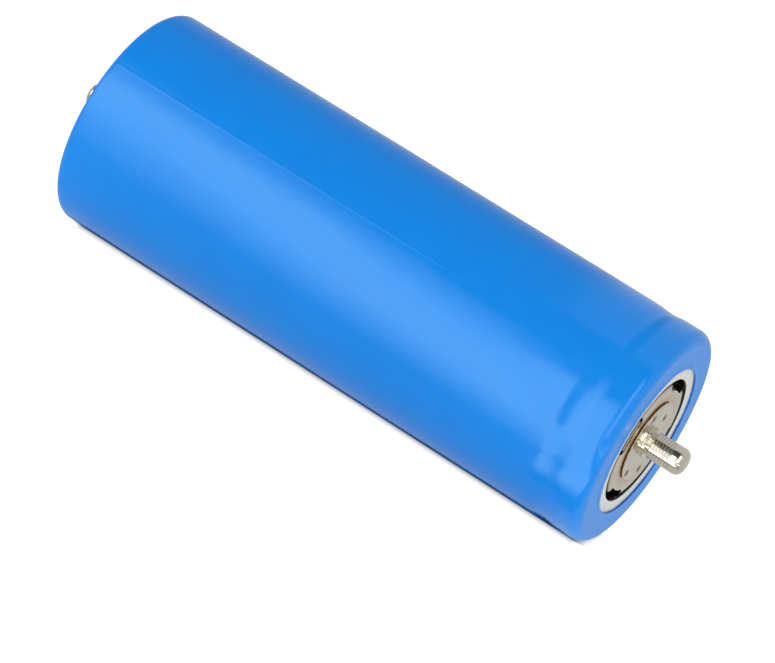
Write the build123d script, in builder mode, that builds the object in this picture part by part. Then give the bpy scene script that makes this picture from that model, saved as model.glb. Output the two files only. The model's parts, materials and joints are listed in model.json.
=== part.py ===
"""A cylindrical lithium-ion cell of the 18500 size, with a contact pin welded on each end.

The origin is in the middle of the cell's body, on its axis. X runs along the cell, and its
positive end points to +X. All sizes are in millimetres.
"""

import os

from build123d import *

# Outside of the sleeved body
body_length = 49.6
sleeve_diameter = 18.5
sleeve_thickness = 0.10
sleeve_edge_radius = 0.95
fold_opening_radius = 6.36

# The bead is the groove rolled into the can under its crimped lip, and the sleeve dips over it
bead_depth_from_end = 3.55
bead_depth = 1.30
bead_half_width = 1.08
bead_floor_half_width = 0.83
bead_shoulder_radius = 0.40
bead_floor_radius = 0.60
sleeve_dip = 0.10
sleeve_dip_half_width = 1.00
sleeve_dip_shoulder_radius = 4.0
sleeve_dip_floor_radius = 6.0

# Can
can_wall = 0.20
can_base = 0.30
can_base_radius = 0.90
crimp_radius = 0.80
crimp_depth_from_end = 0.35
crimp_opening_radius = 7.0

# Closing parts, where each depth is measured inwards from the positive end plane
washer_opening_radius = 5.35
washer_radius = 8.15
cap_thickness = 0.28
cap_face_depth = 0.10
cap_disc_radius = 5.09
cap_bend_radius = 0.25
brim_depth = 0.99
brim_radius = 8.35
closing_disc_radius = 8.30
ptc_depth = 1.29
ptc_thickness = 0.28
ptc_opening_radius = 5.6
gasket_thickness = 0.40
gasket_corner_radius = 0.45
gasket_top_depth = 0.57
gasket_top_opening_radius = 6.7
gasket_bottom_depth = 2.35
gasket_bottom_opening_radius = 6.9

# Vent windows in the rim of the cap's disc
window_count = 4
window_phase = 73.0
window_arc = 28.0
window_inner_radius = 4.40
window_outer_radius = 5.30
window_floor_gap = 0.05

# Current interrupter, where the rupture disc's dish drops from its rim towards the plate
vent_disc_depth = 1.59
vent_disc_thickness = 0.30
dish_drop = 0.50
dish_radius = 5.2
dish_floor_radius = 4.5
boss_foot_radius = 1.9
boss_radius = 1.2
dish_bend_radius = 0.4
boss_bend_radius = 0.3
score_ring_radius = 3.4
score_groove_radius = 0.12
plate_depth = 2.92
plate_thickness = 0.35
plate_radius = 6.0
plate_hole_count = 6
plate_hole_radius = 0.6
plate_hole_ring_radius = 3.6
plate_hole_phase = 15
plate_seat_gap = 0.02
holder_radius = 6.6
holder_bore_radius = 5.6
holder_lip_radius = 5.5
holder_lip_thickness = 0.22

# Contact pins, where each height is measured outwards from the end plane
pin_reach = 3.50
pin_radius = 1.10
pin_flange_radius = 3.40
pin_flange_thickness = 0.15
pin_flange_chamfer = 0.04
pin_collar_radius = 1.27
pin_collar_height = 0.36
pin_neck_radius = 0.92
pin_neck_height = 0.54
pin_nose_radius = 0.62
thread_pitch = 0.25
thread_angle = 60
thread_groove_width = 0.19
thread_turns = 7

# Weld spots on each pin's flange: two pairs of opposite spots
weld_spot_phases = (58.0, 118.0)
weld_spot_ring_radius = 2.60
weld_spot_ball_radius = 1.60
weld_spot_depth = 0.07

# Winding: one turn holds separator, anode, separator, cathode, with a film of liquid between
electrode_thickness = 0.14
separator_thickness = 0.05
film_gap = 0.01
winding_core_radius = 1.75
half_turns = 32
separator_ends = (-24.00, 18.95)
anode_ends = (-23.50, 18.45)
cathode_ends = (-23.00, 17.95)
winding_tape_ends = (-22.00, 16.50)
winding_tape_gap = 0.04
winding_tape_thickness = 0.08

# Slit tube in the winding's core
centre_pin_ends = (-23.90, 18.50)
centre_pin_radius = 1.5
centre_pin_bore_radius = 1.2
centre_pin_slit = 0.4
centre_pin_chamfer = 0.08

# Tabs and their tape
tab_width = 4.0
tab_thickness = 0.10
tab_bend_radius = 0.5
tab_overhang = 3.0
tab_weld_gap = 0.02
positive_tab_half_turn = 16
positive_fold_depth = 4.55
negative_tab_half_turn = 30
tab_tape_thickness = 0.06
tab_tape_gap = 0.05
tab_tape_height = 1.0
trim_allowance = 1.0

# Insulating discs over and under the winding
insulator_hole_radius = 1.6
top_insulator_depth = 5.2
top_insulator_thickness = 0.3
top_insulator_rim_gap = 0.15
top_insulator_slot_margin = 0.2
gas_hole_count = 5
gas_hole_radius = 0.8
gas_hole_ring_radius = 3.3
gas_hole_phase = 126
bottom_insulator_radius = 7.9
bottom_insulator_thickness = 0.2
bottom_insulator_gap = 0.02

# Worked out from the sizes above
sleeve_radius = sleeve_diameter / 2
end_x = body_length / 2
can_radius = sleeve_radius - sleeve_thickness
can_bore = can_radius - can_wall
can_base_x = -end_x + sleeve_thickness
bead_x = end_x - bead_depth_from_end
pitch = 2 * (electrode_thickness + separator_thickness + 2 * film_gap)
anode_offset = separator_thickness + film_gap
outer_separator_offset = anode_offset + electrode_thickness + film_gap
cathode_offset = outer_separator_offset + separator_thickness + film_gap


def across(x):
    """The plane across the cell at x, with +Y to its right and +Z up."""
    return Plane(origin=(x, 0, 0), x_dir=(0, 1, 0), z_dir=(1, 0, 0))


def depth(d):
    """The x position that lies d inside the positive end plane."""
    return end_x - d


def finish(part, name):
    """Labels a finished piece and writes it as its own file."""
    part.label = name
    export_step(part, f"parts/{name}.step")


os.makedirs("parts", exist_ok=True)


# The sleeve is one shrunk tube. It folds over both ends and sags a little over the bead.
sleeve_middle = sleeve_radius - sleeve_thickness / 2
fold_middle_x = end_x - sleeve_thickness / 2
fold_bend_radius = sleeve_edge_radius - sleeve_thickness / 2

with BuildPart() as sleeve:
    with BuildSketch(Plane.XZ):
        with BuildLine():
            FilletPolyline(
                (-fold_middle_x, fold_opening_radius),
                (-fold_middle_x, sleeve_middle),
                (bead_x - sleeve_dip_half_width, sleeve_middle),
                (bead_x, sleeve_middle - sleeve_dip),
                (bead_x + sleeve_dip_half_width, sleeve_middle),
                (fold_middle_x, sleeve_middle),
                (fold_middle_x, fold_opening_radius),
                radius=(
                    fold_bend_radius,
                    sleeve_dip_shoulder_radius,
                    sleeve_dip_floor_radius,
                    sleeve_dip_shoulder_radius,
                    fold_bend_radius,
                ),
            )
        trace(line_width=sleeve_thickness)
    revolve(axis=Axis.X)
finish(sleeve.part, "sleeve")


# The washer lies on the crimped lip, under the sleeve's fold.
with BuildPart() as insulating_washer:
    with BuildSketch(across(depth(crimp_depth_from_end))):
        Circle(washer_radius)
        Circle(washer_opening_radius, mode=Mode.SUBTRACT)
    extrude(amount=crimp_depth_from_end - sleeve_thickness)
finish(insulating_washer.part, "insulating_washer")


# The can is one drawn shell: base, wall, bead groove and crimped lip.
can_middle = can_radius - can_wall / 2
base_middle_x = can_base_x + can_wall / 2
crimp_middle_x = depth(crimp_depth_from_end + can_wall / 2)
bead_floor = can_middle - bead_depth

with BuildPart() as can:
    with BuildSketch(Plane.XZ):
        with BuildLine():
            FilletPolyline(
                (base_middle_x, 0),
                (base_middle_x, can_middle),
                (bead_x - bead_half_width, can_middle),
                (bead_x - bead_floor_half_width, bead_floor),
                (bead_x + bead_floor_half_width, bead_floor),
                (bead_x + bead_half_width, can_middle),
                (crimp_middle_x, can_middle),
                (crimp_middle_x, crimp_opening_radius),
                radius=(
                    can_base_radius - can_wall / 2,
                    bead_shoulder_radius,
                    bead_floor_radius,
                    bead_floor_radius,
                    bead_shoulder_radius,
                    crimp_radius - can_wall / 2,
                ),
            )
        trace(line_width=can_wall)
        with Locations((base_middle_x, 0)):
            Rectangle(can_base - can_wall / 2, can_radius - can_base_radius, align=(Align.MIN, Align.MIN))
    revolve(axis=Axis.X)
finish(can.part, "can")


# The gasket wraps the rim of the closing stack and is squeezed by the crimp.
gasket_wall = can_bore - film_gap * 2 - gasket_thickness / 2
gasket_top_x = depth(gasket_top_depth + gasket_thickness / 2)
gasket_bottom_x = depth(gasket_bottom_depth - gasket_thickness / 2)

with BuildPart() as gasket:
    with BuildSketch(Plane.XZ):
        with BuildLine():
            FilletPolyline(
                (gasket_top_x, gasket_top_opening_radius),
                (gasket_top_x, gasket_wall),
                (gasket_bottom_x, gasket_wall),
                (gasket_bottom_x, gasket_bottom_opening_radius),
                radius=gasket_corner_radius,
            )
        trace(line_width=gasket_thickness)
    revolve(axis=Axis.X)
finish(gasket.part, "gasket")


# The cap is a shallow pressed hat. Its windows let gas out past the rim of its raised disc.
cap_wall_middle = cap_disc_radius - cap_thickness / 2
brim_middle_x = depth(brim_depth + cap_thickness / 2)
cap_face_middle_x = depth(cap_face_depth + cap_thickness / 2)
window_middle_radius = (window_inner_radius + window_outer_radius) / 2
window_cut_depth = brim_depth - cap_face_depth - window_floor_gap
window_starts = [window_phase + i * 360 / window_count - window_arc / 2 for i in range(window_count)]
window_lines = [CenterArc((0, 0), window_middle_radius, start, window_arc) for start in window_starts]

with BuildPart() as top_cap:
    with BuildSketch(Plane.XZ):
        with BuildLine():
            FilletPolyline(
                (brim_middle_x, brim_radius),
                (brim_middle_x, cap_wall_middle),
                (cap_face_middle_x, cap_wall_middle),
                (cap_face_middle_x, 0),
                radius=cap_bend_radius,
            )
        trace(line_width=cap_thickness)
    revolve(axis=Axis.X)
    with BuildSketch(across(depth(cap_face_depth))):
        for line in window_lines:
            SlotArc(line, window_outer_radius - window_inner_radius)
    extrude(amount=-window_cut_depth, mode=Mode.SUBTRACT)
finish(top_cap.part, "top_cap")


with BuildPart() as ptc_ring:
    with BuildSketch(across(depth(ptc_depth + ptc_thickness))):
        Circle(closing_disc_radius)
        Circle(ptc_opening_radius, mode=Mode.SUBTRACT)
    extrude(amount=ptc_thickness)
finish(ptc_ring.part, "ptc_ring")


# The rupture disc is dished, with a weld boss at its middle and a score ring round it.
vent_rim_x = depth(vent_disc_depth + vent_disc_thickness / 2)
dish_floor_x = vent_rim_x - dish_drop
boss_x = depth(plate_depth - vent_disc_thickness / 2)

with BuildPart() as vent_disc:
    with BuildSketch(Plane.XZ):
        with BuildLine():
            FilletPolyline(
                (vent_rim_x, closing_disc_radius),
                (vent_rim_x, dish_radius),
                (dish_floor_x, dish_floor_radius),
                (dish_floor_x, boss_foot_radius),
                (boss_x, boss_radius),
                (boss_x, 0),
                radius=(dish_bend_radius, dish_bend_radius, boss_bend_radius, boss_bend_radius),
            )
        trace(line_width=vent_disc_thickness)
        with Locations((dish_floor_x + vent_disc_thickness / 2, score_ring_radius)):
            Circle(score_groove_radius, mode=Mode.SUBTRACT)
    revolve(axis=Axis.X)
finish(vent_disc.part, "vent_disc")


# The insulator hangs from the rupture disc and holds the plate by its edge.
holder_top_x = depth(vent_disc_depth + vent_disc_thickness)
seat_top_x = depth(plate_depth - plate_seat_gap)
seat_bottom_x = depth(plate_depth + plate_thickness + plate_seat_gap)
seat_radius = plate_radius + plate_seat_gap
holder_bottom_x = seat_bottom_x - holder_lip_thickness

with BuildPart() as interrupter_insulator:
    with BuildSketch(Plane.XZ):
        with BuildLine():
            Polyline(
                (holder_top_x, holder_bore_radius),
                (holder_top_x, holder_radius),
                (holder_bottom_x, holder_radius),
                (holder_bottom_x, holder_lip_radius),
                (seat_bottom_x, holder_lip_radius),
                (seat_bottom_x, seat_radius),
                (seat_top_x, seat_radius),
                (seat_top_x, holder_bore_radius),
                close=True,
            )
        make_face()
    revolve(axis=Axis.X)
finish(interrupter_insulator.part, "interrupter_insulator")


with BuildPart() as interrupter_plate:
    with BuildSketch(across(depth(plate_depth + plate_thickness))):
        Circle(plate_radius)
        with PolarLocations(plate_hole_ring_radius, plate_hole_count, start_angle=plate_hole_phase):
            Circle(plate_hole_radius, mode=Mode.SUBTRACT)
    extrude(amount=plate_thickness)
finish(interrupter_plate.part, "interrupter_plate")


def half_turn_centre(k):
    """The winding is made of half circles whose centre steps from side to side by half a pitch."""
    return (-pitch / 4 if k % 2 == 0 else pitch / 4, 0)


def half_turn_radius(k, offset):
    """The inner radius of the layer that starts at this offset, on half turn k."""
    return winding_core_radius + k * pitch / 2 + offset


def wound_layer(ends, first, last, offset, thickness):
    """One wound strip, from half turn first to half turn last, with square ends."""
    with BuildPart() as layer:
        with BuildSketch(across(ends[0])):
            with BuildLine():
                for k in range(first, last + 1):
                    centre = half_turn_centre(k)
                    start = 0 if k % 2 == 0 else 180
                    inner = CenterArc(centre, half_turn_radius(k, offset), start, 180)
                    outer = CenterArc(centre, half_turn_radius(k, offset) + thickness, start, 180)
                    if k == first:
                        Line(inner @ 0, outer @ 0)
                Line(inner @ 1, outer @ 1)
            make_face()
        extrude(amount=ends[1] - ends[0])
    return layer.part


finish(wound_layer(separator_ends, 0, half_turns - 1, 0, separator_thickness), "separator_inner")
finish(wound_layer(anode_ends, 1, half_turns - 2, anode_offset, electrode_thickness), "anode")
finish(
    wound_layer(separator_ends, 0, half_turns - 1, outer_separator_offset, separator_thickness),
    "separator_outer",
)
finish(wound_layer(cathode_ends, 2, half_turns - 3, cathode_offset, electrode_thickness), "cathode")


# Film wrapped round the finished winding.
winding_radius = half_turn_radius(half_turns - 1, outer_separator_offset) + separator_thickness + pitch / 4
winding_tape_bore = winding_radius + winding_tape_gap

with BuildPart() as winding_tape:
    with BuildSketch(across(winding_tape_ends[0])):
        Circle(winding_tape_bore + winding_tape_thickness)
        Circle(winding_tape_bore, mode=Mode.SUBTRACT)
    extrude(amount=winding_tape_ends[1] - winding_tape_ends[0])
finish(winding_tape.part, "winding_tape")


# A slit spring-steel tube keeps the winding's core open.
with BuildPart() as centre_pin:
    with BuildSketch(across(centre_pin_ends[0])):
        Circle(centre_pin_radius)
        Circle(centre_pin_bore_radius, mode=Mode.SUBTRACT)
        Rectangle(
            2 * centre_pin_radius,
            centre_pin_slit,
            align=(Align.MIN, Align.CENTER),
            mode=Mode.SUBTRACT,
        )
    extrude(amount=centre_pin_ends[1] - centre_pin_ends[0])
    rims = centre_pin.edges().filter_by(GeomType.CIRCLE).group_by(SortBy.RADIUS)[-1]
    chamfer(rims, centre_pin_chamfer)
finish(centre_pin.part, "centre_pin")


def tab_radius(half_turn, offset):
    """The middle radius of a tab that stands in an electrode's place on a half turn."""
    return half_turn_radius(half_turn, offset) + electrode_thickness / 2


def tab_outline(half_turn, offset, grow=0.0):
    """The curved outline of a tab at the top of a half turn, made thicker and wider by grow."""
    radius = tab_radius(half_turn, offset)
    with BuildSketch() as outline:
        with Locations(half_turn_centre(half_turn)):
            Circle(radius + tab_thickness / 2 + grow)
            Circle(radius - tab_thickness / 2 - grow, mode=Mode.SUBTRACT)
            Rectangle(
                tab_width + 2 * grow,
                2 * radius,
                align=(Align.CENTER, Align.MIN),
                mode=Mode.INTERSECT,
            )
    return outline.sketch


# The positive tab stands up out of the winding, folds over and runs back along the plate.
positive_fold_x = depth(positive_fold_depth)
positive_weld_x = depth(plate_depth + plate_thickness + tab_weld_gap + tab_thickness / 2)
positive_tab_reach = tab_radius(positive_tab_half_turn, cathode_offset) + tab_thickness / 2
positive_strip_plane = Plane.XZ.offset(-half_turn_centre(positive_tab_half_turn)[0])

with BuildPart() as positive_tab:
    with BuildSketch(positive_strip_plane):
        with BuildLine():
            FilletPolyline(
                (positive_fold_x, positive_tab_reach + trim_allowance),
                (positive_fold_x, -tab_overhang),
                (positive_weld_x, -tab_overhang),
                (positive_weld_x, tab_overhang),
                radius=tab_bend_radius,
            )
        trace(line_width=tab_thickness)
    extrude(amount=tab_width / 2, both=True)
    with BuildSketch(across(cathode_ends[1])):
        with Locations(half_turn_centre(positive_tab_half_turn)):
            Circle(positive_tab_reach)
    extrude(amount=end_x - cathode_ends[1], mode=Mode.INTERSECT)
    with BuildSketch(across(cathode_ends[1])):
        add(tab_outline(positive_tab_half_turn, cathode_offset))
    extrude(amount=positive_fold_x + tab_thickness / 2 - cathode_ends[1])
finish(positive_tab.part, "positive_tab")


with BuildPart() as positive_tab_tape:
    with BuildSketch(across(separator_ends[1] + tab_tape_gap)):
        add(tab_outline(positive_tab_half_turn, cathode_offset, tab_tape_thickness))
        add(tab_outline(positive_tab_half_turn, cathode_offset), mode=Mode.SUBTRACT)
    extrude(amount=tab_tape_height)
finish(positive_tab_tape.part, "positive_tab_tape")


# The negative tab leaves the last turn downwards and lies across the can's base.
negative_strip_x = can_base_x + can_base + film_gap
negative_tab_reach = tab_radius(negative_tab_half_turn, anode_offset) + tab_thickness / 2

with BuildPart() as negative_tab:
    with BuildSketch(across(negative_strip_x)):
        with Locations(half_turn_centre(negative_tab_half_turn)):
            Circle(negative_tab_reach)
            with Locations((0, -tab_overhang)):
                Rectangle(
                    tab_width,
                    2 * negative_tab_reach,
                    align=(Align.CENTER, Align.MIN),
                    mode=Mode.INTERSECT,
                )
    extrude(amount=tab_thickness)
    with BuildSketch(across(negative_strip_x)):
        add(tab_outline(negative_tab_half_turn, anode_offset))
    extrude(amount=anode_ends[0] - negative_strip_x)
finish(negative_tab.part, "negative_tab")


# Discs over and under the winding. The upper one lets the tab and gas through.
with BuildPart() as top_insulator:
    with BuildSketch(across(depth(top_insulator_depth + top_insulator_thickness))):
        Circle(can_bore - top_insulator_rim_gap)
        Circle(insulator_hole_radius, mode=Mode.SUBTRACT)
        with PolarLocations(gas_hole_ring_radius, gas_hole_count, start_angle=gas_hole_phase):
            Circle(gas_hole_radius, mode=Mode.SUBTRACT)
        add(
            tab_outline(positive_tab_half_turn, cathode_offset, top_insulator_slot_margin),
            mode=Mode.SUBTRACT,
        )
    extrude(amount=top_insulator_thickness)
finish(top_insulator.part, "top_insulator")

with BuildPart() as bottom_insulator:
    with BuildSketch(across(negative_strip_x + tab_thickness + bottom_insulator_gap)):
        Circle(bottom_insulator_radius)
        Circle(insulator_hole_radius, mode=Mode.SUBTRACT)
    extrude(amount=bottom_insulator_thickness)
finish(bottom_insulator.part, "bottom_insulator")


def contact_pin(side):
    """The flanged pin on one end: side is 1 at the positive end and -1 at the negative end."""
    end = Plane(origin=(side * end_x, 0, 0), x_dir=(side, 0, 0), z_dir=(0, -side, 0))
    flange_top = pin_flange_thickness - cap_face_depth
    first_groove = pin_neck_height + thread_pitch / 2
    ball_x = side * (end_x + flange_top + weld_spot_ball_radius - weld_spot_depth)
    with BuildPart() as pin:
        with BuildSketch(end):
            with BuildLine():
                Polyline(
                    (-cap_face_depth, 0),
                    (-cap_face_depth, pin_flange_radius),
                    (flange_top - pin_flange_chamfer, pin_flange_radius),
                    (flange_top, pin_flange_radius - pin_flange_chamfer),
                    (flange_top, pin_collar_radius),
                    (pin_collar_height, pin_collar_radius),
                    (pin_collar_height, pin_neck_radius),
                    (pin_neck_height, pin_neck_radius),
                    (pin_neck_height, pin_radius),
                    (pin_reach - pin_nose_radius, pin_radius),
                )
                RadiusArc(
                    (pin_reach - pin_nose_radius, pin_radius),
                    (pin_reach, pin_radius - pin_nose_radius),
                    pin_nose_radius,
                )
                Polyline((pin_reach, pin_radius - pin_nose_radius), (pin_reach, 0), (-cap_face_depth, 0))
            make_face()
            with Locations(*[(first_groove + i * thread_pitch, pin_radius) for i in range(thread_turns)]):
                Triangle(
                    a=thread_groove_width,
                    B=thread_angle,
                    C=thread_angle,
                    align=(Align.CENTER, Align.MIN),
                    rotation=180,
                    mode=Mode.SUBTRACT,
                )
        revolve(axis=Axis.X)
        for phase in weld_spot_phases:
            with Locations(across(ball_x)):
                with PolarLocations(weld_spot_ring_radius, 2, start_angle=phase):
                    Sphere(weld_spot_ball_radius, mode=Mode.SUBTRACT)
    return pin.part


finish(contact_pin(1), "positive_contact_pin")
finish(contact_pin(-1), "negative_contact_pin")
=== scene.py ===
"""The looks of a cylindrical lithium-ion cell: a blue shrink sleeve with a threaded pin on each end.

The scene is in metres, in the frame of the CAD model: X along the cell, its positive end to +X,
+Z up, and the origin in the middle of the body, on its axis. The sizes of the pieces, and all
names that end in _mm, are in millimetres. The studio's sizes are in metres, and its angles in
degrees. An angle round the cell is measured from +Z towards -Y, the side that is lit.
"""

import json
import math

import bpy
import numpy as np
from mathutils import Matrix, Vector, noise


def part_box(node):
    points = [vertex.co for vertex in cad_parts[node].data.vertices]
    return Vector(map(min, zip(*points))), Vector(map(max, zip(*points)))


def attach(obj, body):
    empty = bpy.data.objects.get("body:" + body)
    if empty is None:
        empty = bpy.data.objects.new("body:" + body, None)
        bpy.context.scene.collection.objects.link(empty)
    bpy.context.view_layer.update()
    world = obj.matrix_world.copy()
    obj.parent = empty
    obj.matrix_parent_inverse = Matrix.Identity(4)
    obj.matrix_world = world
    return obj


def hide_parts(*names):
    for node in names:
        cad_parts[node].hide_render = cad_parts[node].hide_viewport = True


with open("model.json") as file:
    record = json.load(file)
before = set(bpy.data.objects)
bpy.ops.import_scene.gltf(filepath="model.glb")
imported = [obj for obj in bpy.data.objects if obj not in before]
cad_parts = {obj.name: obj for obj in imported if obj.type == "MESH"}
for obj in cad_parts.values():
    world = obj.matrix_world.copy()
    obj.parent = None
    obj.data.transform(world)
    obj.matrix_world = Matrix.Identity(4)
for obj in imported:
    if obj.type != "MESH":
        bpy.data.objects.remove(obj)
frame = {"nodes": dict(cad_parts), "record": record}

MM = 0.001
SHARP_ANGLE = math.radians(35)
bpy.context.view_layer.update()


# ---------------------------------------------------------------- sizes read from the frame


def node_box(node):
    """The lowest and highest corners of a CAD node, in millimetres."""
    low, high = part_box(node)
    return low / MM, high / MM


sleeve_low, sleeve_high = node_box("sleeve")
washer_low, washer_high = node_box("insulating_washer")
_, cap_high = node_box("top_cap")
_, pin_high = node_box("positive_contact_pin")

end_mm = sleeve_high.x
sleeve_radius_mm = sleeve_high.z
washer_radius_mm = washer_high.z
cap_face_mm = cap_high.x
pin_tip_mm = pin_high.x
pin_flange_radius_mm = pin_high.z


# ---------------------------------------------------------------- mesh helpers


def round_the_cell(x_mm, radius_mm, angle):
    """The point at this place along the cell, distance from its axis and angle round it."""
    return (x_mm * MM, -radius_mm * math.sin(angle) * MM, radius_mm * math.cos(angle) * MM)


def smoothstep(low, high, value):
    """0 below low, 1 above high, and a smooth curve between them."""
    t = min(max((value - low) / (high - low), 0.0), 1.0)
    return t * t * (3 - 2 * t)


def steps(start, end, size):
    """Evenly spaced values from start up to, but not including, end, about size apart."""
    count = max(1, round(abs(end - start) / size))
    return [start + (end - start) * i / count for i in range(count)]


def arc(centre, radius, start_deg, end_deg, count):
    """Points (x, r) on an arc, without its last one. Angles turn from +X towards +r."""
    turn = (end_deg - start_deg) / count
    angles = [math.radians(start_deg + turn * i) for i in range(count)]
    return [(centre[0] + radius * math.cos(a), centre[1] + radius * math.sin(a)) for a in angles]


def line(start, end, size):
    """Points (x, r) on a straight run, about size apart, without its last one."""
    count = max(1, round(math.dist(start, end) / size))
    return [
        (start[0] + (end[0] - start[0]) * i / count, start[1] + (end[1] - start[1]) * i / count)
        for i in range(count)
    ]


def new_piece(name, vertices, faces):
    """A smooth-shaded mesh object whose edges are sharp past SHARP_ANGLE."""
    mesh = bpy.data.meshes.new(name)
    mesh.from_pydata(vertices, [], faces)
    mesh.validate()
    mesh.shade_smooth()
    mesh.set_sharp_from_angle(angle=SHARP_ANGLE)
    piece = bpy.data.objects.new(name, mesh)
    bpy.context.scene.collection.objects.link(piece)
    return piece


def turned_piece(name, rows, angles, place, closed):
    """A surface of rings: place(row, angle) gives each point.

    A closed surface joins its last ring to its first. An open one is closed by a fan at each end,
    so its first and last rings lie round the axis.
    """
    count = len(angles)
    vertices = [place(row, angle) for row in rows for angle in angles]
    faces = []
    for i in range(len(rows) if closed else len(rows) - 1):
        here, there = i * count, (i + 1) % len(rows) * count
        for j in range(count):
            k = (j + 1) % count
            faces.append((here + j, here + k, there + k, there + j))
    if not closed:
        for first in (0, (len(rows) - 1) * count):
            ring = vertices[first : first + count]
            middle = tuple(sum(p[axis] for p in ring) / count for axis in range(3))
            vertices.append(middle)
            for j in range(count):
                k = (j + 1) % count
                pair = (first + k, first + j) if first == 0 else (first + j, first + k)
                faces.append((*pair, len(vertices) - 1))
    return new_piece(name, vertices, faces)


def even_angles(count):
    """Angles in radians, evenly spaced once round."""
    return [2 * math.pi * j / count for j in range(count)]


def noise_at(x, y, z, scale):
    """A smooth noise between -1 and 1, the same on every run."""
    return noise.noise(Vector((x, y, z)) * scale)


# ---------------------------------------------------------------- sleeve

SLEEVE_THICKNESS = 0.10
SLEEVE_EDGE_RADIUS = 0.95
SLEEVE_FAR_EDGE_RADIUS = 0.75
FOLD_OPENING_RADIUS = 6.36
LIP_BULGE = 0.08
BEAD_FROM_END = 3.55
SAG_DEPTH = 0.09
SAG_HALF_WIDTH = 1.35
CREASE_ANGLES = (math.radians(50), math.radians(230))
CREASE_HEIGHT = 0.012
CREASE_WIDTH = 0.10
BROAD_RELIEF = 0.016
MIDDLE_RELIEF = 0.008
WRINKLE_RELIEF = 0.020
PUCKER_RELIEF = 0.022
RAGGED_LIP = 0.05
RELIEF_INSET = 0.006

# The spacing of the sleeve's rows and columns.
SLEEVE_COLUMNS = 400
FINE_STEP = 0.16
COARSE_STEP = 0.7
FOLD_STEP = 0.14
FINE_BEFORE_BEAD = 4.0
EDGE_STEPS = 14
FAR_EDGE_STEPS = 12
CREASE_OFFSETS = (-0.24, -0.16, -0.10, -0.06, -0.03, 0.0, 0.03, 0.06, 0.10, 0.16, 0.24)

# The rounded cut edge, as shares of half the wall: out of the fold's face, and towards the axis.
LIP_SECTION = (
    (0.9, 0.55),
    (0.7, 0.8),
    (0.35, 0.85),
    (0.0, 0.85),
    (-0.35, 0.85),
    (-0.7, 0.8),
    (-0.9, 0.55),
)

bead_mm = end_mm - BEAD_FROM_END


def sleeve_rows():
    """The sleeve's section as rows (x, r, nx, nr, offset, share), once round its wall.

    x and r lie in the middle of the wall, nx and nr point out of the sleeve there, and offset is
    how far the surface is from the middle. share is how much of the relief a row takes: all of it
    outside and none inside.
    """
    half = SLEEVE_THICKNESS / 2
    middle = sleeve_radius_mm - half
    face = end_mm - half
    edge = SLEEVE_EDGE_RADIUS - half
    far_edge = SLEEVE_FAR_EDGE_RADIUS - half
    body_end = face - edge
    far_body_end = face - far_edge
    opening = FOLD_OPENING_RADIUS + half
    fine_from = bead_mm - FINE_BEFORE_BEAD
    spots = [(-face, r, -1, 0) for r in steps(opening, middle - far_edge, FINE_STEP)]
    for x, r in arc((-far_body_end, middle - far_edge), far_edge, 180, 90, FAR_EDGE_STEPS):
        spots.append((x, r, (x + far_body_end) / far_edge, (r - middle + far_edge) / far_edge))
    spots += [(x, middle, 0, 1) for x in steps(-far_body_end, fine_from, COARSE_STEP)]
    spots += [(x, middle, 0, 1) for x in steps(fine_from, body_end, FINE_STEP)]
    for x, r in arc((body_end, middle - edge), edge, 90, 0, EDGE_STEPS):
        spots.append((x, r, (x - body_end) / edge, (r - middle + edge) / edge))
    spots += [(face, r, 1, 0) for r in steps(middle - edge, opening, FOLD_STEP)]
    spots.append((face, opening, 1, 0))
    rows = [(x, r, nx, nr, half, 1.0) for x, r, nx, nr in spots]
    rows += lip_rows(spots[-1], 1)
    rows += [(x, r, nx, nr, -half, 0.0) for x, r, nx, nr in fewer(spots[::-1])]
    rows += lip_rows(spots[0], -1)
    return rows


def fewer(spots):
    """Every third spot, the last one, and all of those near the bead."""
    last = len(spots) - 1
    return [s for i, s in enumerate(spots) if i % 3 == 0 or i == last or abs(s[0] - bead_mm) < 2]


def lip_rows(spot, side):
    """The cut edge of the fold at one end, from the outer face to the inner one or back."""
    x, r, nx, _ = spot
    rows = []
    for out, inward in LIP_SECTION:
        rows.append((x, r, nx * out * side, -inward, SLEEVE_THICKNESS / 2, (1 + out * side) / 2))
    return rows


def sleeve_angles():
    """Evenly spaced angles, with more of them at the two creases."""
    angles = even_angles(SLEEVE_COLUMNS)
    reach = CREASE_OFFSETS[-1] / sleeve_radius_mm
    for middle in CREASE_ANGLES:
        angles = [a for a in angles if abs(a - middle) > reach * 1.3]
        angles += [middle + offset / sleeve_radius_mm for offset in CREASE_OFFSETS]
    return sorted(angles)


def sag(x, angle):
    """How far the sleeve dips over the can's bead."""
    away = (x - bead_mm) / SAG_HALF_WIDTH
    if abs(away) >= 1:
        return 0.0
    uneven = 1 + 0.25 * noise_at(math.cos(angle), math.sin(angle), 0, 2.3)
    return SAG_DEPTH * uneven * math.cos(away * math.pi / 2) ** 2


def crease(x, angle):
    """The height of the fine ridge where the flat tube was folded. It fades towards the bead."""
    height = 0.0
    for middle in CREASE_ANGLES:
        arc_mm = (angle - middle) * sleeve_radius_mm
        height += CREASE_HEIGHT * math.exp(-((arc_mm / CREASE_WIDTH) ** 2))
    return height * (1 - smoothstep(2.0, bead_mm - 2, x))


def body_relief(x, angle):
    """Unevenness of the shrunk film, in millimetres outwards."""
    y, z = math.sin(angle) * sleeve_radius_mm, math.cos(angle) * sleeve_radius_mm
    broad = BROAD_RELIEF * noise_at(x * 0.5, y, z, 0.16)
    middle = MIDDLE_RELIEF * noise_at(x * 0.6, y, z, 0.45)
    near_end = smoothstep(bead_mm - 5, bead_mm + 1, x)
    wrinkle = WRINKLE_RELIEF * near_end * noise_at(x * 1.1 + 40, y * 0.35, z * 0.35, 1.1)
    return broad + middle + wrinkle


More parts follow.
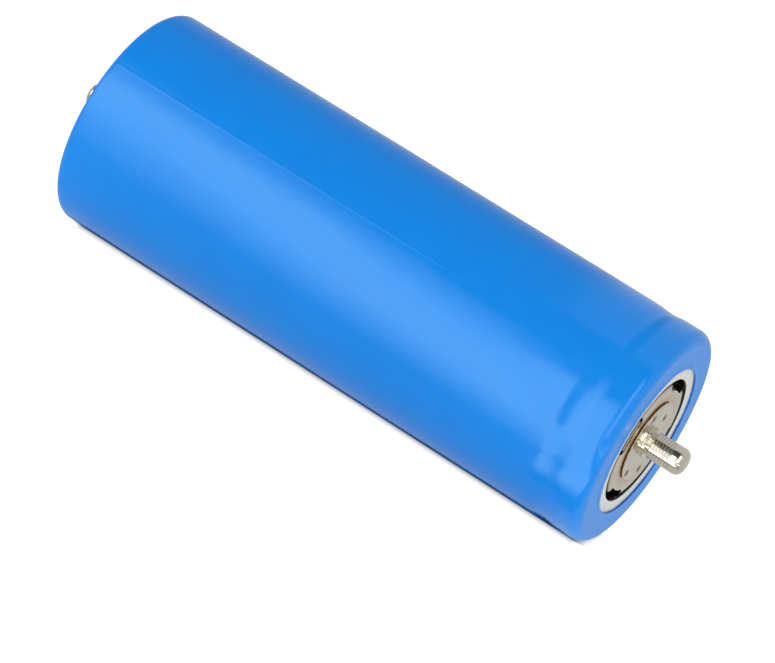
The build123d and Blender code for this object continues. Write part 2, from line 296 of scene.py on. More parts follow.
def fold_relief(radius, angle):
    """Small puckers where the tube draws in over an end, and the fold's rolled rim."""
    drawn = 1 - (radius - FOLD_OPENING_RADIUS) / (sleeve_radius_mm - FOLD_OPENING_RADIUS)
    ring = noise_at(math.cos(angle) * 6, math.sin(angle) * 6, radius * 0.25, 1.0)
    rolled = smoothstep(FOLD_OPENING_RADIUS + 0.45, FOLD_OPENING_RADIUS + 0.1, radius)
    return PUCKER_RELIEF * drawn * ring + LIP_BULGE * rolled


def sleeve_point(row, angle):
    """One point of the sleeve: the section's wall, with sag, crease and unevenness."""
    x, r, nx, nr, offset, share = row
    flat = max(0.0, nr)
    relief = share * (body_relief(x, angle) * flat + crease(x, angle) * flat - RELIEF_INSET)
    relief += share * fold_relief(r, angle) * abs(nx)
    ragged = RAGGED_LIP * noise_at(math.cos(angle) * 3, math.sin(angle) * 3, x, 1.0)
    at_lip = smoothstep(FOLD_OPENING_RADIUS + 0.5, FOLD_OPENING_RADIUS, r)
    shrink = sag(x, angle) * (1 if r > sleeve_radius_mm - 1 else 0)
    new_x = x + nx * (offset + relief)
    new_r = r + nr * (offset + relief) - shrink + ragged * at_lip
    return round_the_cell(new_x, new_r, angle)


def make_sleeve():
    """The heat-shrink film, folded in over both ends."""
    return turned_piece("sleeve_film", sleeve_rows(), sleeve_angles(), sleeve_point, closed=True)


# ---------------------------------------------------------------- washer

WASHER_OPENING_RADIUS = 5.35
WASHER_EDGE = 0.06
WASHER_ROUGHNESS = 0.006
WASHER_OPENING_WAVE = 0.02
WASHER_COLUMNS = 256


def washer_rows():
    """The washer's section, a flat ring with softened corners, in the order that faces it out."""
    low, high = washer_low.x, washer_high.x
    inner, outer, e = WASHER_OPENING_RADIUS, washer_radius_mm, WASHER_EDGE
    rows = line((high, inner + e), (high, outer - e), 0.12)
    rows += arc((high - e, outer - e), e, 0, 90, 4)
    rows += line((high - e, outer), (low + e, outer), 0.1)
    rows += arc((low + e, outer - e), e, 90, 180, 4)
    rows += line((low, outer - e), (low, inner + e), 0.35)
    rows += arc((low + e, inner + e), e, 180, 270, 4)
    rows += line((low + e, inner), (high - e, inner), 0.05)
    rows += arc((high - e, inner + e), e, 270, 360, 4)
    return rows[::-1]


def washer_point(row, angle):
    """One point of the washer: its face is a little rough, and its opening isn't quite round."""
    x, r = row
    rough = WASHER_ROUGHNESS * noise_at(x, r * math.cos(angle), r * math.sin(angle), 2.2)
    wavy = WASHER_OPENING_WAVE * noise_at(math.cos(angle) * 2, math.sin(angle) * 2, 0, 1.3)
    inside = smoothstep(WASHER_OPENING_RADIUS + 0.6, WASHER_OPENING_RADIUS, r)
    return round_the_cell(x + rough - WASHER_ROUGHNESS, r + wavy * inside, angle)


def make_washer():
    """The punched fibre ring under the near fold."""
    angles = even_angles(WASHER_COLUMNS)
    return turned_piece("washer_ring", washer_rows(), angles, washer_point, closed=True)


# ---------------------------------------------------------------- contact pins

PIN_RADIUS = 1.10
PIN_COLLAR_RADIUS = 1.27
PIN_COLLAR_HEIGHT = 0.36
PIN_NECK_RADIUS = 0.92
PIN_NECK_HEIGHT = 0.54
PIN_NOSE_RADIUS = 0.62
PIN_SHOULDER_HEIGHT = 0.10
PIN_SOFT_CORNER = 0.05
FAN_RADIUS = 0.02
THREAD_PITCH = 0.25
THREAD_DEPTH = 0.035
THREAD_LONG_FLANK = 0.85
THREAD_END = 2.42
THREAD_RUN_IN = 0.12
THREAD_RUN_OUT = 0.01
FLANGE_TOP = 0.05
FLANGE_GAP = 0.02
FLANGE_EDGE = 0.03
FLANGE_FLAT_RADII = (1.5, 2.9)
FLANGE_LIFT_RADIUS = 2.95
FLANGE_LIFTED_WIDTH = 0.15
WELD_RADIUS = 0.36
WELD_BURN_RADIUS = 0.20
WELD_DEPTH = 0.09
WELD_RIM = 0.035
PIN_COLUMNS = 160

# Where the pin was spot-welded: the angle in degrees, from +Y towards +Z, and the radius.
WELD_SPOTS = ((56, 2.25), (120, 2.65), (240, 2.90), (294, 3.00))
WELD_MARKS = tuple((math.radians(angle - 90), radius) for angle, radius in WELD_SPOTS)

pin_reach_mm = pin_tip_mm - end_mm


def flange_rows():
    """The welded disc's section, from the middle of its underside to the foot of the collar."""
    under = cap_face_mm - end_mm
    rim = pin_flange_radius_mm
    lifted = under + FLANGE_GAP
    rows = [(under, r) for r in (FAN_RADIUS, *FLANGE_FLAT_RADII)]
    rows += line((under, FLANGE_LIFT_RADIUS), (lifted, rim - FLANGE_LIFTED_WIDTH), 0.05)
    rows += arc((lifted + FLANGE_EDGE, rim - FLANGE_EDGE), FLANGE_EDGE, 270, 360, 3)
    rows += [(FLANGE_TOP - FLANGE_EDGE, rim)]
    rows += arc((FLANGE_TOP - FLANGE_EDGE, rim - FLANGE_EDGE), FLANGE_EDGE, 90, 0, 3)[1:]
    collar = PIN_COLLAR_RADIUS + PIN_SOFT_CORNER
    return rows + line((FLANGE_TOP, rim - FLANGE_EDGE), (FLANGE_TOP, collar), 0.055)


def shank_rows():
    """The pin's section from the foot of its collar to the middle of its tip."""
    soft = PIN_SOFT_CORNER
    collar, neck, shank = PIN_COLLAR_RADIUS, PIN_NECK_RADIUS, PIN_RADIUS
    collar_top, neck_top = PIN_COLLAR_HEIGHT, PIN_NECK_HEIGHT
    thread_from = neck_top + PIN_SHOULDER_HEIGHT
    thread_to = THREAD_END + PIN_SHOULDER_HEIGHT
    nose_from = pin_reach_mm - PIN_NOSE_RADIUS
    nose_flat = shank - PIN_NOSE_RADIUS
    rows = arc((FLANGE_TOP + soft, collar + soft), soft, 180, 270, 4)
    rows += line((FLANGE_TOP + soft, collar), (collar_top - soft, collar), 0.1)
    rows += arc((collar_top - soft, collar - soft), soft, 90, 0, 4)
    rows += line((collar_top, collar - soft), (collar_top, neck), 0.1)
    rows += line((collar_top, neck), (neck_top, neck), 0.06)
    rows += line((neck_top, neck), (thread_from, shank), 0.03)
    rows += line((thread_from, shank), (thread_to, shank), THREAD_PITCH / 16)
    rows += line((thread_to, shank), (nose_from, shank), 0.08)
    rows += arc((nose_from, nose_flat), PIN_NOSE_RADIUS, 90, 0, 14)
    rows += line((pin_reach_mm, nose_flat), (pin_reach_mm, FAN_RADIUS), 0.12)
    return rows + [(pin_reach_mm, FAN_RADIUS)]


def thread_cut(height, angle):
    """How deep the helical groove is cut here. Its long flank faces away from the cell."""
    turn = (height / THREAD_PITCH + angle / (2 * math.pi)) % 1.0
    if turn < THREAD_LONG_FLANK:
        groove = turn / THREAD_LONG_FLANK
    else:
        groove = (1 - turn) / (1 - THREAD_LONG_FLANK)
    run_in = smoothstep(PIN_NECK_HEIGHT, PIN_NECK_HEIGHT + THREAD_RUN_IN, height)
    run_out = 1 - smoothstep(THREAD_END - THREAD_RUN_OUT, THREAD_END, height)
    return THREAD_DEPTH * groove * run_in * run_out


def weld_relief(radius, angle):
    """The dimple and raised rim that a spot-welding tip leaves in the flange."""
    side, up = radius * math.sin(angle), radius * math.cos(angle)
    height = 0.0
    for spot, spot_radius in WELD_MARKS:
        away = math.hypot(side - spot_radius * math.sin(spot), up - spot_radius * math.cos(spot))
        share = away / WELD_RADIUS
        if share < 1:
            height -= WELD_DEPTH * (1 - share * share)
        height += WELD_RIM * math.exp(-(((share - 1.1) / 0.22) ** 2))
    return height


def pin_point(row, angle, side):
    """One point of the pin that stands on the positive end (side 1) or the negative one (-1)."""
    height, radius = row
    if height > PIN_NECK_HEIGHT and radius > PIN_RADIUS - 0.01:
        radius -= thread_cut(height, angle)
    if abs(height - FLANGE_TOP) < 0.001 and radius > PIN_COLLAR_RADIUS:
        height += weld_relief(radius, angle)
    return round_the_cell(side * (end_mm + height), radius, angle)


def make_pin(name, side):
    """A flanged, threaded pin on one end. On the negative end the angles run back, to face it out."""
    angles = even_angles(PIN_COLUMNS)[::side]
    rows = flange_rows() + shank_rows()
    return turned_piece(name, rows, angles, lambda row, a: pin_point(row, a, side), closed=False)


# ---------------------------------------------------------------- materials


class Look:
    """A Principled material, with short ways to add the nodes that vary it over a surface."""

    def __init__(self, name, base, roughness, metallic=0.0, **sockets):
        self.material = bpy.data.materials.new(name)
        self.material.use_nodes = True
        self.nodes = self.material.node_tree.nodes
        self.links = self.material.node_tree.links
        self.shader = self.nodes["Principled BSDF"]
        self.base = base
        self.set("Base Color", (*base, 1))
        self.set("Roughness", roughness)
        self.set("Metallic", metallic)
        for socket, value in sockets.items():
            self.set(socket.replace("_", " "), value)
        self.bump_from = None

    def set(self, socket, value):
        """Gives a socket of the shader one value all over."""
        self.shader.inputs[socket].default_value = value

    def feed(self, socket, value):
        """Links a socket of the shader to a node's output."""
        self.links.new(value, self.shader.inputs[socket])

    def add(self, kind, **values):
        """A node of this kind, with its settings, input values and links."""
        node = self.nodes.new(kind)
        for key, value in values.items():
            if hasattr(node, key):
                setattr(node, key, value)
            elif isinstance(value, bpy.types.NodeSocket):
                self.links.new(value, node.inputs[key])
            else:
                node.inputs[key].default_value = value
        return node

    def position(self, stretch=(1, 1, 1)):
        """The place on the object in millimetres, stretched along each axis."""
        where = self.add("ShaderNodeTexCoord").outputs["Object"]
        mapping = self.add("ShaderNodeMapping", Vector=where)
        mapping.inputs["Scale"].default_value = [s / MM for s in stretch]
        return mapping.outputs["Vector"]

    def noise(self, scale, detail=3.0, stretch=(1, 1, 1), roughness=0.5):
        """A noise from 0 to 1 with about scale features per millimetre."""
        place = self.position(stretch)
        node = self.add("ShaderNodeTexNoise", Vector=place, Scale=scale, Detail=detail, Roughness=roughness)
        return node.outputs["Fac"]

    def along(self, axis):
        """The place along the X, Y or Z axis, in millimetres."""
        return self.add("ShaderNodeSeparateXYZ", Vector=self.position()).outputs[axis]

    def radius(self):
        """The distance from the cell's axis, in millimetres."""
        flat = self.position((0, 1, 1))
        return self.add("ShaderNodeVectorMath", operation="LENGTH", Vector=flat).outputs["Value"]

    def combine(self, operation, *values):
        """The result of a Math node for these values, each an output or a plain number."""
        node = self.add("ShaderNodeMath", operation=operation)
        for value, socket in zip(values, node.inputs):
            if isinstance(value, bpy.types.NodeSocket):
                self.links.new(value, socket)
            else:
                socket.default_value = value
        return node.outputs[0]

    def spread(self, value, low, high, to_low, to_high):
        """Maps a value from one range to another, and clamps it there."""
        node = self.add("ShaderNodeMapRange", Value=value)
        limits = {"From Min": low, "From Max": high, "To Min": to_low, "To Max": to_high}
        for socket, number in limits.items():
            node.inputs[socket].default_value = number
        return node.outputs["Result"]

    def vary_colour(self, other, factor):
        """Mixes the base colour towards another one."""
        source = self.shader.inputs["Base Color"]
        node = self.add("ShaderNodeMix", data_type="RGBA")
        if source.is_linked:
            self.links.new(source.links[0].from_socket, node.inputs[6])
        else:
            node.inputs[6].default_value = (*self.base, 1)
        node.inputs[7].default_value = (*other, 1)
        self.links.new(factor, node.inputs[0])
        self.links.new(node.outputs[2], source)

    def paint(self, colour, factor):
        """Mixes the surface towards a dull coat of this colour."""
        self.vary_colour(colour, factor)
        self.feed("Metallic", self.combine("SUBTRACT", 1.0, factor))

    def vary_roughness(self, value, low, high, to_low, to_high):
        """Lets the roughness follow a value."""
        self.feed("Roughness", self.spread(value, low, high, to_low, to_high))

    def bump(self, height, depth_mm):
        """Adds bump of this depth, over any that is there already."""
        node = self.add("ShaderNodeBump", Height=height, Strength=1.0, Distance=depth_mm * MM)
        if self.bump_from is not None:
            self.links.new(self.bump_from, node.inputs["Normal"])
        self.bump_from = node.outputs["Normal"]
        self.feed("Normal", self.bump_from)


def sleeve_look():
    """Satin blue heat-shrink film with a faint orange-peel surface, and painted shade on the fold's cut
    edge.
    """
    look = Look("sleeve_blue", (0.004, 0.232, 0.760), 0.16, IOR=1.46)
    look.set("Specular Tint", (0.74, 0.96, 0.92, 1))
    cloud = look.noise(0.25, detail=2.0)
    look.vary_colour((0.006, 0.205, 0.715), look.spread(cloud, 0.35, 0.7, 0.0, 0.35))
    # Painted shade: inside the fold's opening the cut edge is painted dark blue, for the shade of the
    # crevice between the fold and the washer.
    rim = FOLD_OPENING_RADIUS
    look.vary_colour((0.002, 0.085, 0.42), look.spread(look.radius(), rim + 0.02, rim - 0.02, 0.0, 1.0))
    satin = look.spread(look.noise(0.9, detail=4.0), 0.3, 0.7, 0.12, 0.19)
    from_middle = look.combine("ABSOLUTE", look.along("X"))
    fold = look.spread(from_middle, end_mm - 0.4, end_mm - 0.05, 0.0, 0.16)
    look.feed("Roughness", look.combine("ADD", satin, fold))
    look.bump(look.noise(1.1, detail=2.0), 0.006)
    look.bump(look.noise(6.0, detail=3.0), 0.0006)
    return look.material


def washer_look():
    """Pale fibre board, with painted shade on the cut edge of its opening."""
    look = Look("washer_fibre", (0.64, 0.64, 0.62), 0.8)
    fibres = look.noise(3.0, detail=6.0, stretch=(1, 0.35, 2.2))
    look.vary_colour((0.56, 0.55, 0.52), look.spread(fibres, 0.45, 0.75, 0.0, 0.6))
    # Painted shade: the opening's cut edge is painted near black, for the shade of the gap between the
    # washer and the cap.
    rim = WASHER_OPENING_RADIUS
    look.vary_colour((0.035, 0.028, 0.022), look.spread(look.radius(), rim + 0.03, rim + 0.005, 0.0, 1.0))
    look.bump(fibres, 0.02)
    look.bump(look.noise(14.0), 0.006)
    return look.material


def metal_look(name, base, other, roughness, grain_mm, mottle=0.5):
    """Plated steel: faint rings from its drawing or turning, and a mottled tone."""
    look = Look(name, base, roughness, metallic=1.0)
    look.vary_colour(other, look.spread(look.noise(mottle, detail=5.0), 0.35, 0.7, 0.0, 1.0))
    look.vary_roughness(look.noise(1.8, detail=5.0), 0.3, 0.7, roughness * 0.75, roughness * 1.3)
    rings = look.add("ShaderNodeTexNoise", noise_dimensions="1D", Scale=1 / grain_mm, Detail=2.0)
    look.links.new(look.radius(), rings.inputs["W"])
    look.bump(rings.outputs["Fac"], 0.0012)
    look.bump(look.noise(9.0, detail=3.0), 0.0015)
    return look


# Where the cap turns brown towards the middle: some weld tint, and a painted reflection of the pin.
TINT_AND_REFLECTION_RADII = (4.4, 3.3)

# The cap's vent windows: the radius of their inner walls, and depths below the cap's face.
WINDOW_WALL_RADII = (4.42, 4.48)
WINDOW_EDGE_DEPTHS = (0.04, 0.12)
WINDOW_WALL_DEPTHS = (0.20, 0.14)


def cap_look():
    """Satin nickel plating, browner towards the middle round the pin, from weld tint and a painted
    reflection of the pin, with painted shade and a painted glint in the vent windows.
    """
    look = metal_look("cap_steel", (0.77, 0.70, 0.565), (0.69, 0.62, 0.49), 0.20, 0.12)
    # Browner towards the middle: weld tint, and a painted reflection of the pin's brown foot.
    look.vary_colour((0.56, 0.40, 0.22), look.spread(look.radius(), *TINT_AND_REFLECTION_RADII, 0.0, 0.8))
    # Painted shade: deeper than WINDOW_EDGE_DEPTHS below the face and outside the windows' inner walls, the
    # cap is painted dark brown, for the shade inside the vent windows.
    depth = look.combine("SUBTRACT", cap_face_mm, look.along("X"))
    below = look.spread(depth, *WINDOW_EDGE_DEPTHS, 0.0, 1.0)
    outside = look.spread(look.radius(), *WINDOW_WALL_RADII, 0.0, 1.0)
    look.vary_colour((0.14, 0.08, 0.05), look.combine("MULTIPLY", below, outside))
    # Painted glint: on the windows' inner walls, just below the face, the cap takes a pale dull coat so
    # that the wall reads bright.
    lip = look.spread(depth, *WINDOW_WALL_DEPTHS, 0.0, 1.0)
    inner = look.spread(look.radius(), *WINDOW_WALL_RADII, 1.0, 0.0)
    painted_glint = look.combine("MULTIPLY", below, lip)
    look.paint((0.85, 0.74, 0.56), look.combine("MULTIPLY", painted_glint, inner))
    return look.material


def pin_look():
    """Bright nickel plating, with heat tint at the welds, and a dull brown band on the flange's edge next
    to the cap.
    """
    look = metal_look("pin_plating", (0.75, 0.70, 0.595), (0.67, 0.62, 0.51), 0.14, 0.10)
    for angle, radius in WELD_MARKS:
        away = look.add("ShaderNodeVectorMath", operation="DISTANCE")
        look.links.new(look.position((0, 1, 1)), away.inputs[0])
        away.inputs[1].default_value = (0, -radius * math.sin(angle), radius * math.cos(angle))
        burn = look.spread(away.outputs["Value"], WELD_RADIUS, WELD_BURN_RADIUS, 0.0, 0.95)
        look.vary_colour((0.05, 0.035, 0.02), burn)
    # A dull brown coat on the lowest part of the flange's edge, just above the cap.
    from_middle = look.combine("ABSOLUTE", look.along("X"))
    under = look.spread(from_middle, end_mm + 0.01, end_mm + 0.04, 1.0, 0.0)
    edge = pin_flange_radius_mm
    rim = look.spread(look.radius(), edge - 0.12, edge - 0.08, 0.0, 1.0)
    look.paint((0.50, 0.32, 0.16), look.combine("MULTIPLY", under, rim))
    return look.material


def coating_look(name, base, other):
    """An electrode's matt coating, with the grain of its particles."""
    look = Look(name, base, 0.75)
    look.vary_colour(other, look.spread(look.noise(12.0, detail=6.0), 0.4, 0.65, 0.0, 1.0))
    look.bump(look.noise(25.0, detail=4.0), 0.004)
    return look.material


def film_look(name, base, other, roughness):
    """A smooth plastic film or moulding, with slight clouding and ripple."""
    look = Look(name, base, roughness)
    look.vary_colour(other, look.spread(look.noise(0.8, detail=4.0), 0.35, 0.7, 0.0, 0.7))
    look.vary_roughness(look.noise(2.5, detail=4.0), 0.3, 0.7, roughness * 0.8, min(1.0, roughness * 1.2))
    look.bump(look.noise(3.0, detail=3.0), 0.004)
    return look.material


def make_looks():
    """One material for each of the record's slots."""
    can = metal_look("can_steel", (0.58, 0.565, 0.52), (0.50, 0.485, 0.44), 0.28, 0.15)
    vent = metal_look("vent_aluminium", (0.80, 0.80, 0.80), (0.72, 0.72, 0.72), 0.35, 0.20)
    tab_aluminium = metal_look("tab_aluminium", (0.78, 0.78, 0.78), (0.70, 0.70, 0.70), 0.40, 0.30)
    nickel = metal_look("tab_nickel", (0.66, 0.65, 0.60), (0.58, 0.57, 0.52), 0.30, 0.30)
    core = metal_look("core_steel", (0.62, 0.62, 0.62), (0.54, 0.54, 0.54), 0.30, 0.25)
    return {
        "sleeve_blue": sleeve_look(),
        "washer_fibre": washer_look(),
        "can_steel": can.material,
        "cap_steel": cap_look(),
        "pin_plating": pin_look(),
        "vent_aluminium": vent.material,
        "tab_aluminium": tab_aluminium.material,
        "tab_nickel": nickel.material,
        "core_steel": core.material,
        "gasket_plastic": film_look("gasket_plastic", (0.80, 0.81, 0.78), (0.70, 0.71, 0.68), 0.45),
        "ptc_polymer": coating_look("ptc_polymer", (0.08, 0.08, 0.08), (0.13, 0.13, 0.13)),
        "amber_tape": film_look("amber_tape", (0.55, 0.26, 0.04), (0.45, 0.20, 0.03), 0.25),
        "insulator_film": film_look("insulator_film", (0.82, 0.82, 0.79), (0.72, 0.72, 0.69), 0.7),
        "cathode_coating": coating_look("cathode_coating", (0.030, 0.030, 0.034), (0.055, 0.055, 0.06)),
        "anode_coating": coating_look("anode_coating", (0.060, 0.060, 0.065), (0.10, 0.10, 0.105)),
        "separator_film": film_look("separator_film", (0.86, 0.86, 0.86), (0.78, 0.78, 0.78), 0.6),
        "winding_tape_film": film_look("winding_tape_film", (0.68, 0.62, 0.28), (0.60, 0.54, 0.22), 0.3),
    }


def dress(piece, material):
    """Gives a piece one material all over."""
    piece.data.materials.clear()
    piece.data.materials.append(material)


def dress_cad_nodes(looks):
    """Gives each CAD node the material of its slot in the record."""
    for subpart in frame["record"]["subparts"]:
        node = frame["nodes"][subpart["node"]]
        for slot in node.material_slots:
            slot.material = looks[subpart["material_slot"]]
        if not node.material_slots:
            node.data.materials.append(looks[subpart["material_slot"]])


def stand_for(piece, node, slot, looks):
    """Makes a detailed piece take the place of a CAD node."""
    dress(piece, looks[slot])
    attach(piece, "root")
    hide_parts(node)


# ---------------------------------------------------------------- camera

CAMERA_AZIMUTH = 18.22
CAMERA_ELEVATION = 20.98
CAMERA_ROLL = 25.55
CAMERA_DISTANCE = 0.32661
CAMERA_SHIFT_RIGHT = 0.000484
CAMERA_SHIFT_UP = -0.004401
CAMERA_LENS = 196.99
SENSOR_WIDTH = 36.0


def make_camera():
    """A long lens that sees the cell's side and its positive end, from a little above, rolled."""
    azimuth, elevation, roll = (math.radians(a) for a in (CAMERA_AZIMUTH, CAMERA_ELEVATION, CAMERA_ROLL))
    level = Vector((math.cos(azimuth), math.sin(azimuth), 0))
    back = Vector(
        (
            math.sin(azimuth) * math.cos(elevation),
            -math.cos(azimuth) * math.cos(elevation),
            math.sin(elevation),
        )
    )
    upright = back.cross(level)
    right = math.cos(roll) * level + math.sin(roll) * upright
    up = back.cross(right)
    data = bpy.data.cameras.new("camera")
    data.lens = CAMERA_LENS
    data.sensor_width = SENSOR_WIDTH
    data.clip_start = 0.01
    camera = bpy.data.objects.new("camera", data)
    turn = Matrix((right, up, back)).transposed().to_4x4()
    place = CAMERA_DISTANCE * back + CAMERA_SHIFT_RIGHT * right + CAMERA_SHIFT_UP * up
    camera.matrix_world = Matrix.Translation(place) @ turn
    bpy.context.scene.collection.objects.link(camera)
    bpy.context.scene.camera = camera


# ---------------------------------------------------------------- floor and lights

FLOOR_HALF_SIZE = 2.0
FLOOR_TONE = 0.25
FLOOR_GLOW = 0.56
FLOOR_WHITENING = 0.42

# Where the floor's glow sets in beside the cell's axis and before its ends, in millimetres.
FLOOR_GLOW_EDGES = (2.0, 3.0)
FLOOR_WHITE_EDGES = (1.9, 2.2)
FLOOR_END_RISE = 1.2

# The reflecting shell. For each metre away from the cell's axis, the camera's line of sight goes
# VIEW_SLANT metres along it. Under the cell, past CONTACT_ANGLE, the shell is dark.
TENT_RADIUS = 0.12
TENT_HALF_LENGTH = 0.30
TENT_STEP = 0.0025
TENT_LIFT = 0.0002
VIEW_SLANT = 0.305
CONTACT_ANGLE = 158
END_CARD_FOOT = -0.009
END_CARD_REACH = TENT_RADIUS * 1.5

# The lit panel. Its edges are angles, and they lean by so many degrees per metre along the cell.
PANEL_GLOW = 3.6
PANEL_STEP = 0.9
PANEL_EDGE = 37
PANEL_EDGE_LEAN = 300
PANEL_RISE = 28
PANEL_RISE_LEAN = 1000
PANEL_FADE = 86
PANEL_FADE_LEAN_LEFT = 1000.0
PANEL_FADE_LEAN_RIGHT = 560.0
PANEL_LEAN_REACH = 0.03
PANEL_FOOT = 125
PANEL_LAST_ANGLE = 140

# What comes after the lit panel, by its place along the cell, and the edges there as angles.
PIN_FROM = 0.024
PIN_CARD_EDGE = 8
PANEL_END = 0.040
THREAD_CARD = (0.060, 0.073)
THREAD_CARD_TURN = 8
SIDE_PANEL = (0.085, 0.165)
SIDE_PANEL_EDGES = (20, 88)
SIDE_PANEL_GLOW = 2.4
END_GLOW = 0.6

WORLD_GLOW = 0.80
KEY_PLACE = (0.05, -0.55, 0.20)
KEY_SIZE = 0.5
KEY_POWER = 1.15

# The brightness round the cell, away from the lit panel, by the angle from straight up towards -Y.
SURROUNDINGS = (
    (-180, 0.55),
    (-104, 0.55),
    (-90, 0.50),
    (-72, 0.34),
    (-48, 0.18),
    (-16, 0.12),
    (16, 0.06),
    (60, 0.06),
    (110, 0.45),
    (180, 0.42),
)

# The same as the pin shows it: a pale card behind, the dark gap overhead, and the panel in front.
PIN_SURROUNDINGS = (
    (-180, 0.62),
    (6, 0.62),
    (10, 0.07),
    (52, 0.07),
    (60, 3.2),
    (124, 3.2),
    (130, 0.15),
    (136, 0.15),
    (140, 0.62),
    (180, 0.62),
)


def emission_material(name, strength_from=None, strength=1.0):
    """A plain glowing surface whose strength is a constant or comes from an attribute."""
    material = bpy.data.materials.new(name)
    material.use_nodes = True
    nodes, links = material.node_tree.nodes, material.node_tree.links
    nodes.clear()
    glow = nodes.new("ShaderNodeEmission")
    glow.inputs["Strength"].default_value = strength
    if strength_from:
        attribute = nodes.new("ShaderNodeAttribute")
        attribute.attribute_name = strength_from
        links.new(attribute.outputs["Fac"], glow.inputs["Strength"])
    links.new(glow.outputs["Emission"], nodes.new("ShaderNodeOutputMaterial").inputs["Surface"])
    return material


def floor_look():
    """A light table: it glows all over but for the strip where the cell rests, which is left dark as a
    painted contact shadow.

    A part of the glow is for the camera only, so that it doesn't light the cell from below.
    """
    look = Look("floor_white", (FLOOR_TONE, FLOOR_TONE, FLOOR_TONE), 0.9, Specular_IOR_Level=0.0)
    aside = look.combine("ABSOLUTE", look.along("Y"))
    from_middle = look.combine("ABSOLUTE", look.along("X"))
    past_end = look.spread(from_middle, end_mm - FLOOR_END_RISE, end_mm, 0.0, 1.0)
    # Within FLOOR_GLOW_EDGES of the axis the floor doesn't glow: a painted contact shadow along the cell.
    glow = look.spread(aside, *FLOOR_GLOW_EDGES, 0.0, FLOOR_GLOW)
    white = look.spread(aside, *FLOOR_WHITE_EDGES, 0.0, FLOOR_WHITENING)
    seen = look.add("ShaderNodeLightPath").outputs["Is Camera Ray"]
    beside = look.combine("ADD", glow, look.combine("MULTIPLY", white, seen))
    full = FLOOR_GLOW + FLOOR_WHITENING
    strength = look.combine("MULTIPLY_ADD", past_end, full, beside)
    look.set("Emission Color", (1, 1, 1, 1))
    look.feed("Emission Strength", look.combine("MINIMUM", strength, full))
    return look.material


def make_floor():
    """A pale surface under the cell, lit a little from below as a light table is."""
    z = sleeve_low.z * MM
    s = FLOOR_HALF_SIZE
    floor = new_piece("floor", [(-s, -s, z), (s, -s, z), (s, s, z), (-s, s, z)], [(0, 1, 2, 3)])
    floor.visible_glossy = False
    dress(floor, floor_look())


def read_profile(profile, angle_deg):
    """The glow at this angle, between the profile's points."""
    angles, glows = zip(*profile)
    return float(np.interp(angle_deg, angles, glows))


def reflection_glow(x, angle_deg):
    """The brightness of the studio as the cell's gloss shows it.

    x is the place along the cell that mirrors this part of the shell to the camera. The lit panel
    starts at a sharp edge overhead, is brightest in front and fades below it, and its edges lean
    along the cell. Past the cell's right end come the near pin's surroundings, a card that lights
    its thread, a side panel and an even glow.
    """
    around = read_profile(SURROUNDINGS, angle_deg)
    if x > SIDE_PANEL[1]:
        return max(around, END_GLOW)
    if x > SIDE_PANEL[0] and SIDE_PANEL_EDGES[0] < angle_deg < SIDE_PANEL_EDGES[1]:
        return SIDE_PANEL_GLOW
    if THREAD_CARD[0] < x < THREAD_CARD[1]:
        return read_profile(PIN_SURROUNDINGS, angle_deg - THREAD_CARD_TURN)
    if x > PANEL_END:
        return max(around, END_GLOW) if angle_deg < PIN_CARD_EDGE else around
    if x > PIN_FROM:
        return read_profile(PIN_SURROUNDINGS, angle_deg)
    along = min(max(x, -PANEL_LEAN_REACH), PANEL_LEAN_REACH)
    edge = PANEL_EDGE + PANEL_EDGE_LEAN * along
    fade_lean = PANEL_FADE_LEAN_RIGHT if along > 0 else PANEL_FADE_LEAN_LEFT
    fade = PANEL_FADE + fade_lean * along
    width = PANEL_RISE + PANEL_RISE_LEAN * max(along, 0.0)
    if angle_deg < edge or angle_deg > PANEL_LAST_ANGLE:
        return around
    rise = PANEL_STEP + (PANEL_GLOW - PANEL_STEP) * smoothstep(edge, edge + width, angle_deg)
    fall = 1 - smoothstep(fade, PANEL_FOOT, angle_deg)
    return max(around, rise * fall)


def panel_point(angle_deg):
    """Where the reflecting shell is at this angle: a round tent over a strip that lies on the floor."""
    angle = math.radians(angle_deg)
    y, z = -math.sin(angle) * TENT_RADIUS, math.cos(angle) * TENT_RADIUS
    floor_z = sleeve_low.z * MM + TENT_LIFT
    if z < floor_z:
        y, z = y * floor_z / z, floor_z
    return y, z


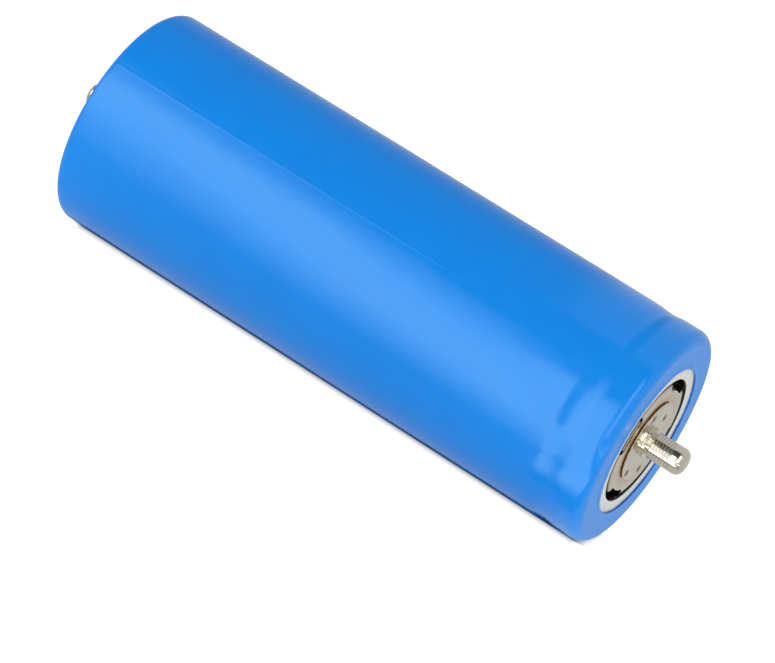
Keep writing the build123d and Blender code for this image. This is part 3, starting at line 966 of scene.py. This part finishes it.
def make_shell():
    """A shell round the cell that only its gloss sees, so that it lights nothing else."""
    angles = range(-180, 181)
    along = steps(-TENT_HALF_LENGTH, TENT_HALF_LENGTH, TENT_STEP) + [TENT_HALF_LENGTH]
    vertices, glows = [], []
    for angle in angles:
        y, z = panel_point(angle)
        reach = math.hypot(y, z)
        for x in along:
            vertices.append((x, y, z))
            under_cell = abs(angle) > CONTACT_ANGLE and abs(x) < end_mm * MM
            glows.append(0.0 if under_cell else reflection_glow(x + VIEW_SLANT * reach, angle))
    count = len(along)
    faces = [
        (i * count + j, i * count + j + 1, (i + 1) * count + j + 1, (i + 1) * count + j)
        for i in range(len(angles) - 1)
        for j in range(count - 1)
    ]
    shell = new_piece("reflection_shell", vertices, faces)
    glow = shell.data.attributes.new("glow", "FLOAT", "POINT")
    glow.data.foreach_set("value", np.array(glows, np.float32))
    dress(shell, emission_material("shell_glow", strength_from="glow"))
    gloss_only(shell)


def make_end_cards():
    """A glowing card that closes each end of the shell."""
    low, high = END_CARD_FOOT, END_CARD_REACH
    for name, x in (("end_card_left", -TENT_HALF_LENGTH), ("end_card_right", TENT_HALF_LENGTH)):
        corners = [(x, -high, low), (x, high, low), (x, high, high), (x, -high, high)]
        card = new_piece(name, corners, [(0, 1, 2, 3)])
        dress(card, emission_material(name + "_glow", strength=END_GLOW))
        gloss_only(card)


def gloss_only(card):
    """Hides a card or the shell from everything but reflections."""
    card.visible_camera = False
    card.visible_diffuse = False
    card.visible_transmission = False
    card.visible_volume_scatter = False
    card.visible_shadow = False


def area_light(name, place, target, size, power):
    """A square soft light that the cell's gloss doesn't show."""
    data = bpy.data.lights.new(name, "AREA")
    data.shape = "SQUARE"
    data.size = size
    data.energy = power
    light = bpy.data.objects.new(name, data)
    light.location = place
    light.rotation_mode = "QUATERNION"
    light.rotation_quaternion = (Vector(place) - Vector(target)).to_track_quat("Z", "Y")
    light.visible_glossy = False
    light.visible_camera = False
    bpy.context.scene.collection.objects.link(light)


def make_lights():
    """Even soft light from all round, with more of it from the front."""
    world = bpy.data.worlds.new("studio")
    world.use_nodes = True
    background = world.node_tree.nodes["Background"]
    background.inputs["Color"].default_value = (1, 1, 1, 1)
    background.inputs["Strength"].default_value = WORLD_GLOW
    bpy.context.scene.world = world
    world.cycles_visibility.glossy = False
    area_light("front_key", KEY_PLACE, (0, 0, 0), KEY_SIZE, KEY_POWER)
    bpy.context.scene.view_settings.view_transform = "Standard"


# ---------------------------------------------------------------- the scene


def main():
    make_camera()
    looks = make_looks()
    dress_cad_nodes(looks)
    stand_for(make_sleeve(), "sleeve", "sleeve_blue", looks)
    stand_for(make_washer(), "insulating_washer", "washer_fibre", looks)
    stand_for(make_pin("pin_positive", 1), "positive_contact_pin", "pin_plating", looks)
    stand_for(make_pin("pin_negative", -1), "negative_contact_pin", "pin_plating", looks)
    make_floor()
    make_shell()
    make_end_cards()
    make_lights()


main()
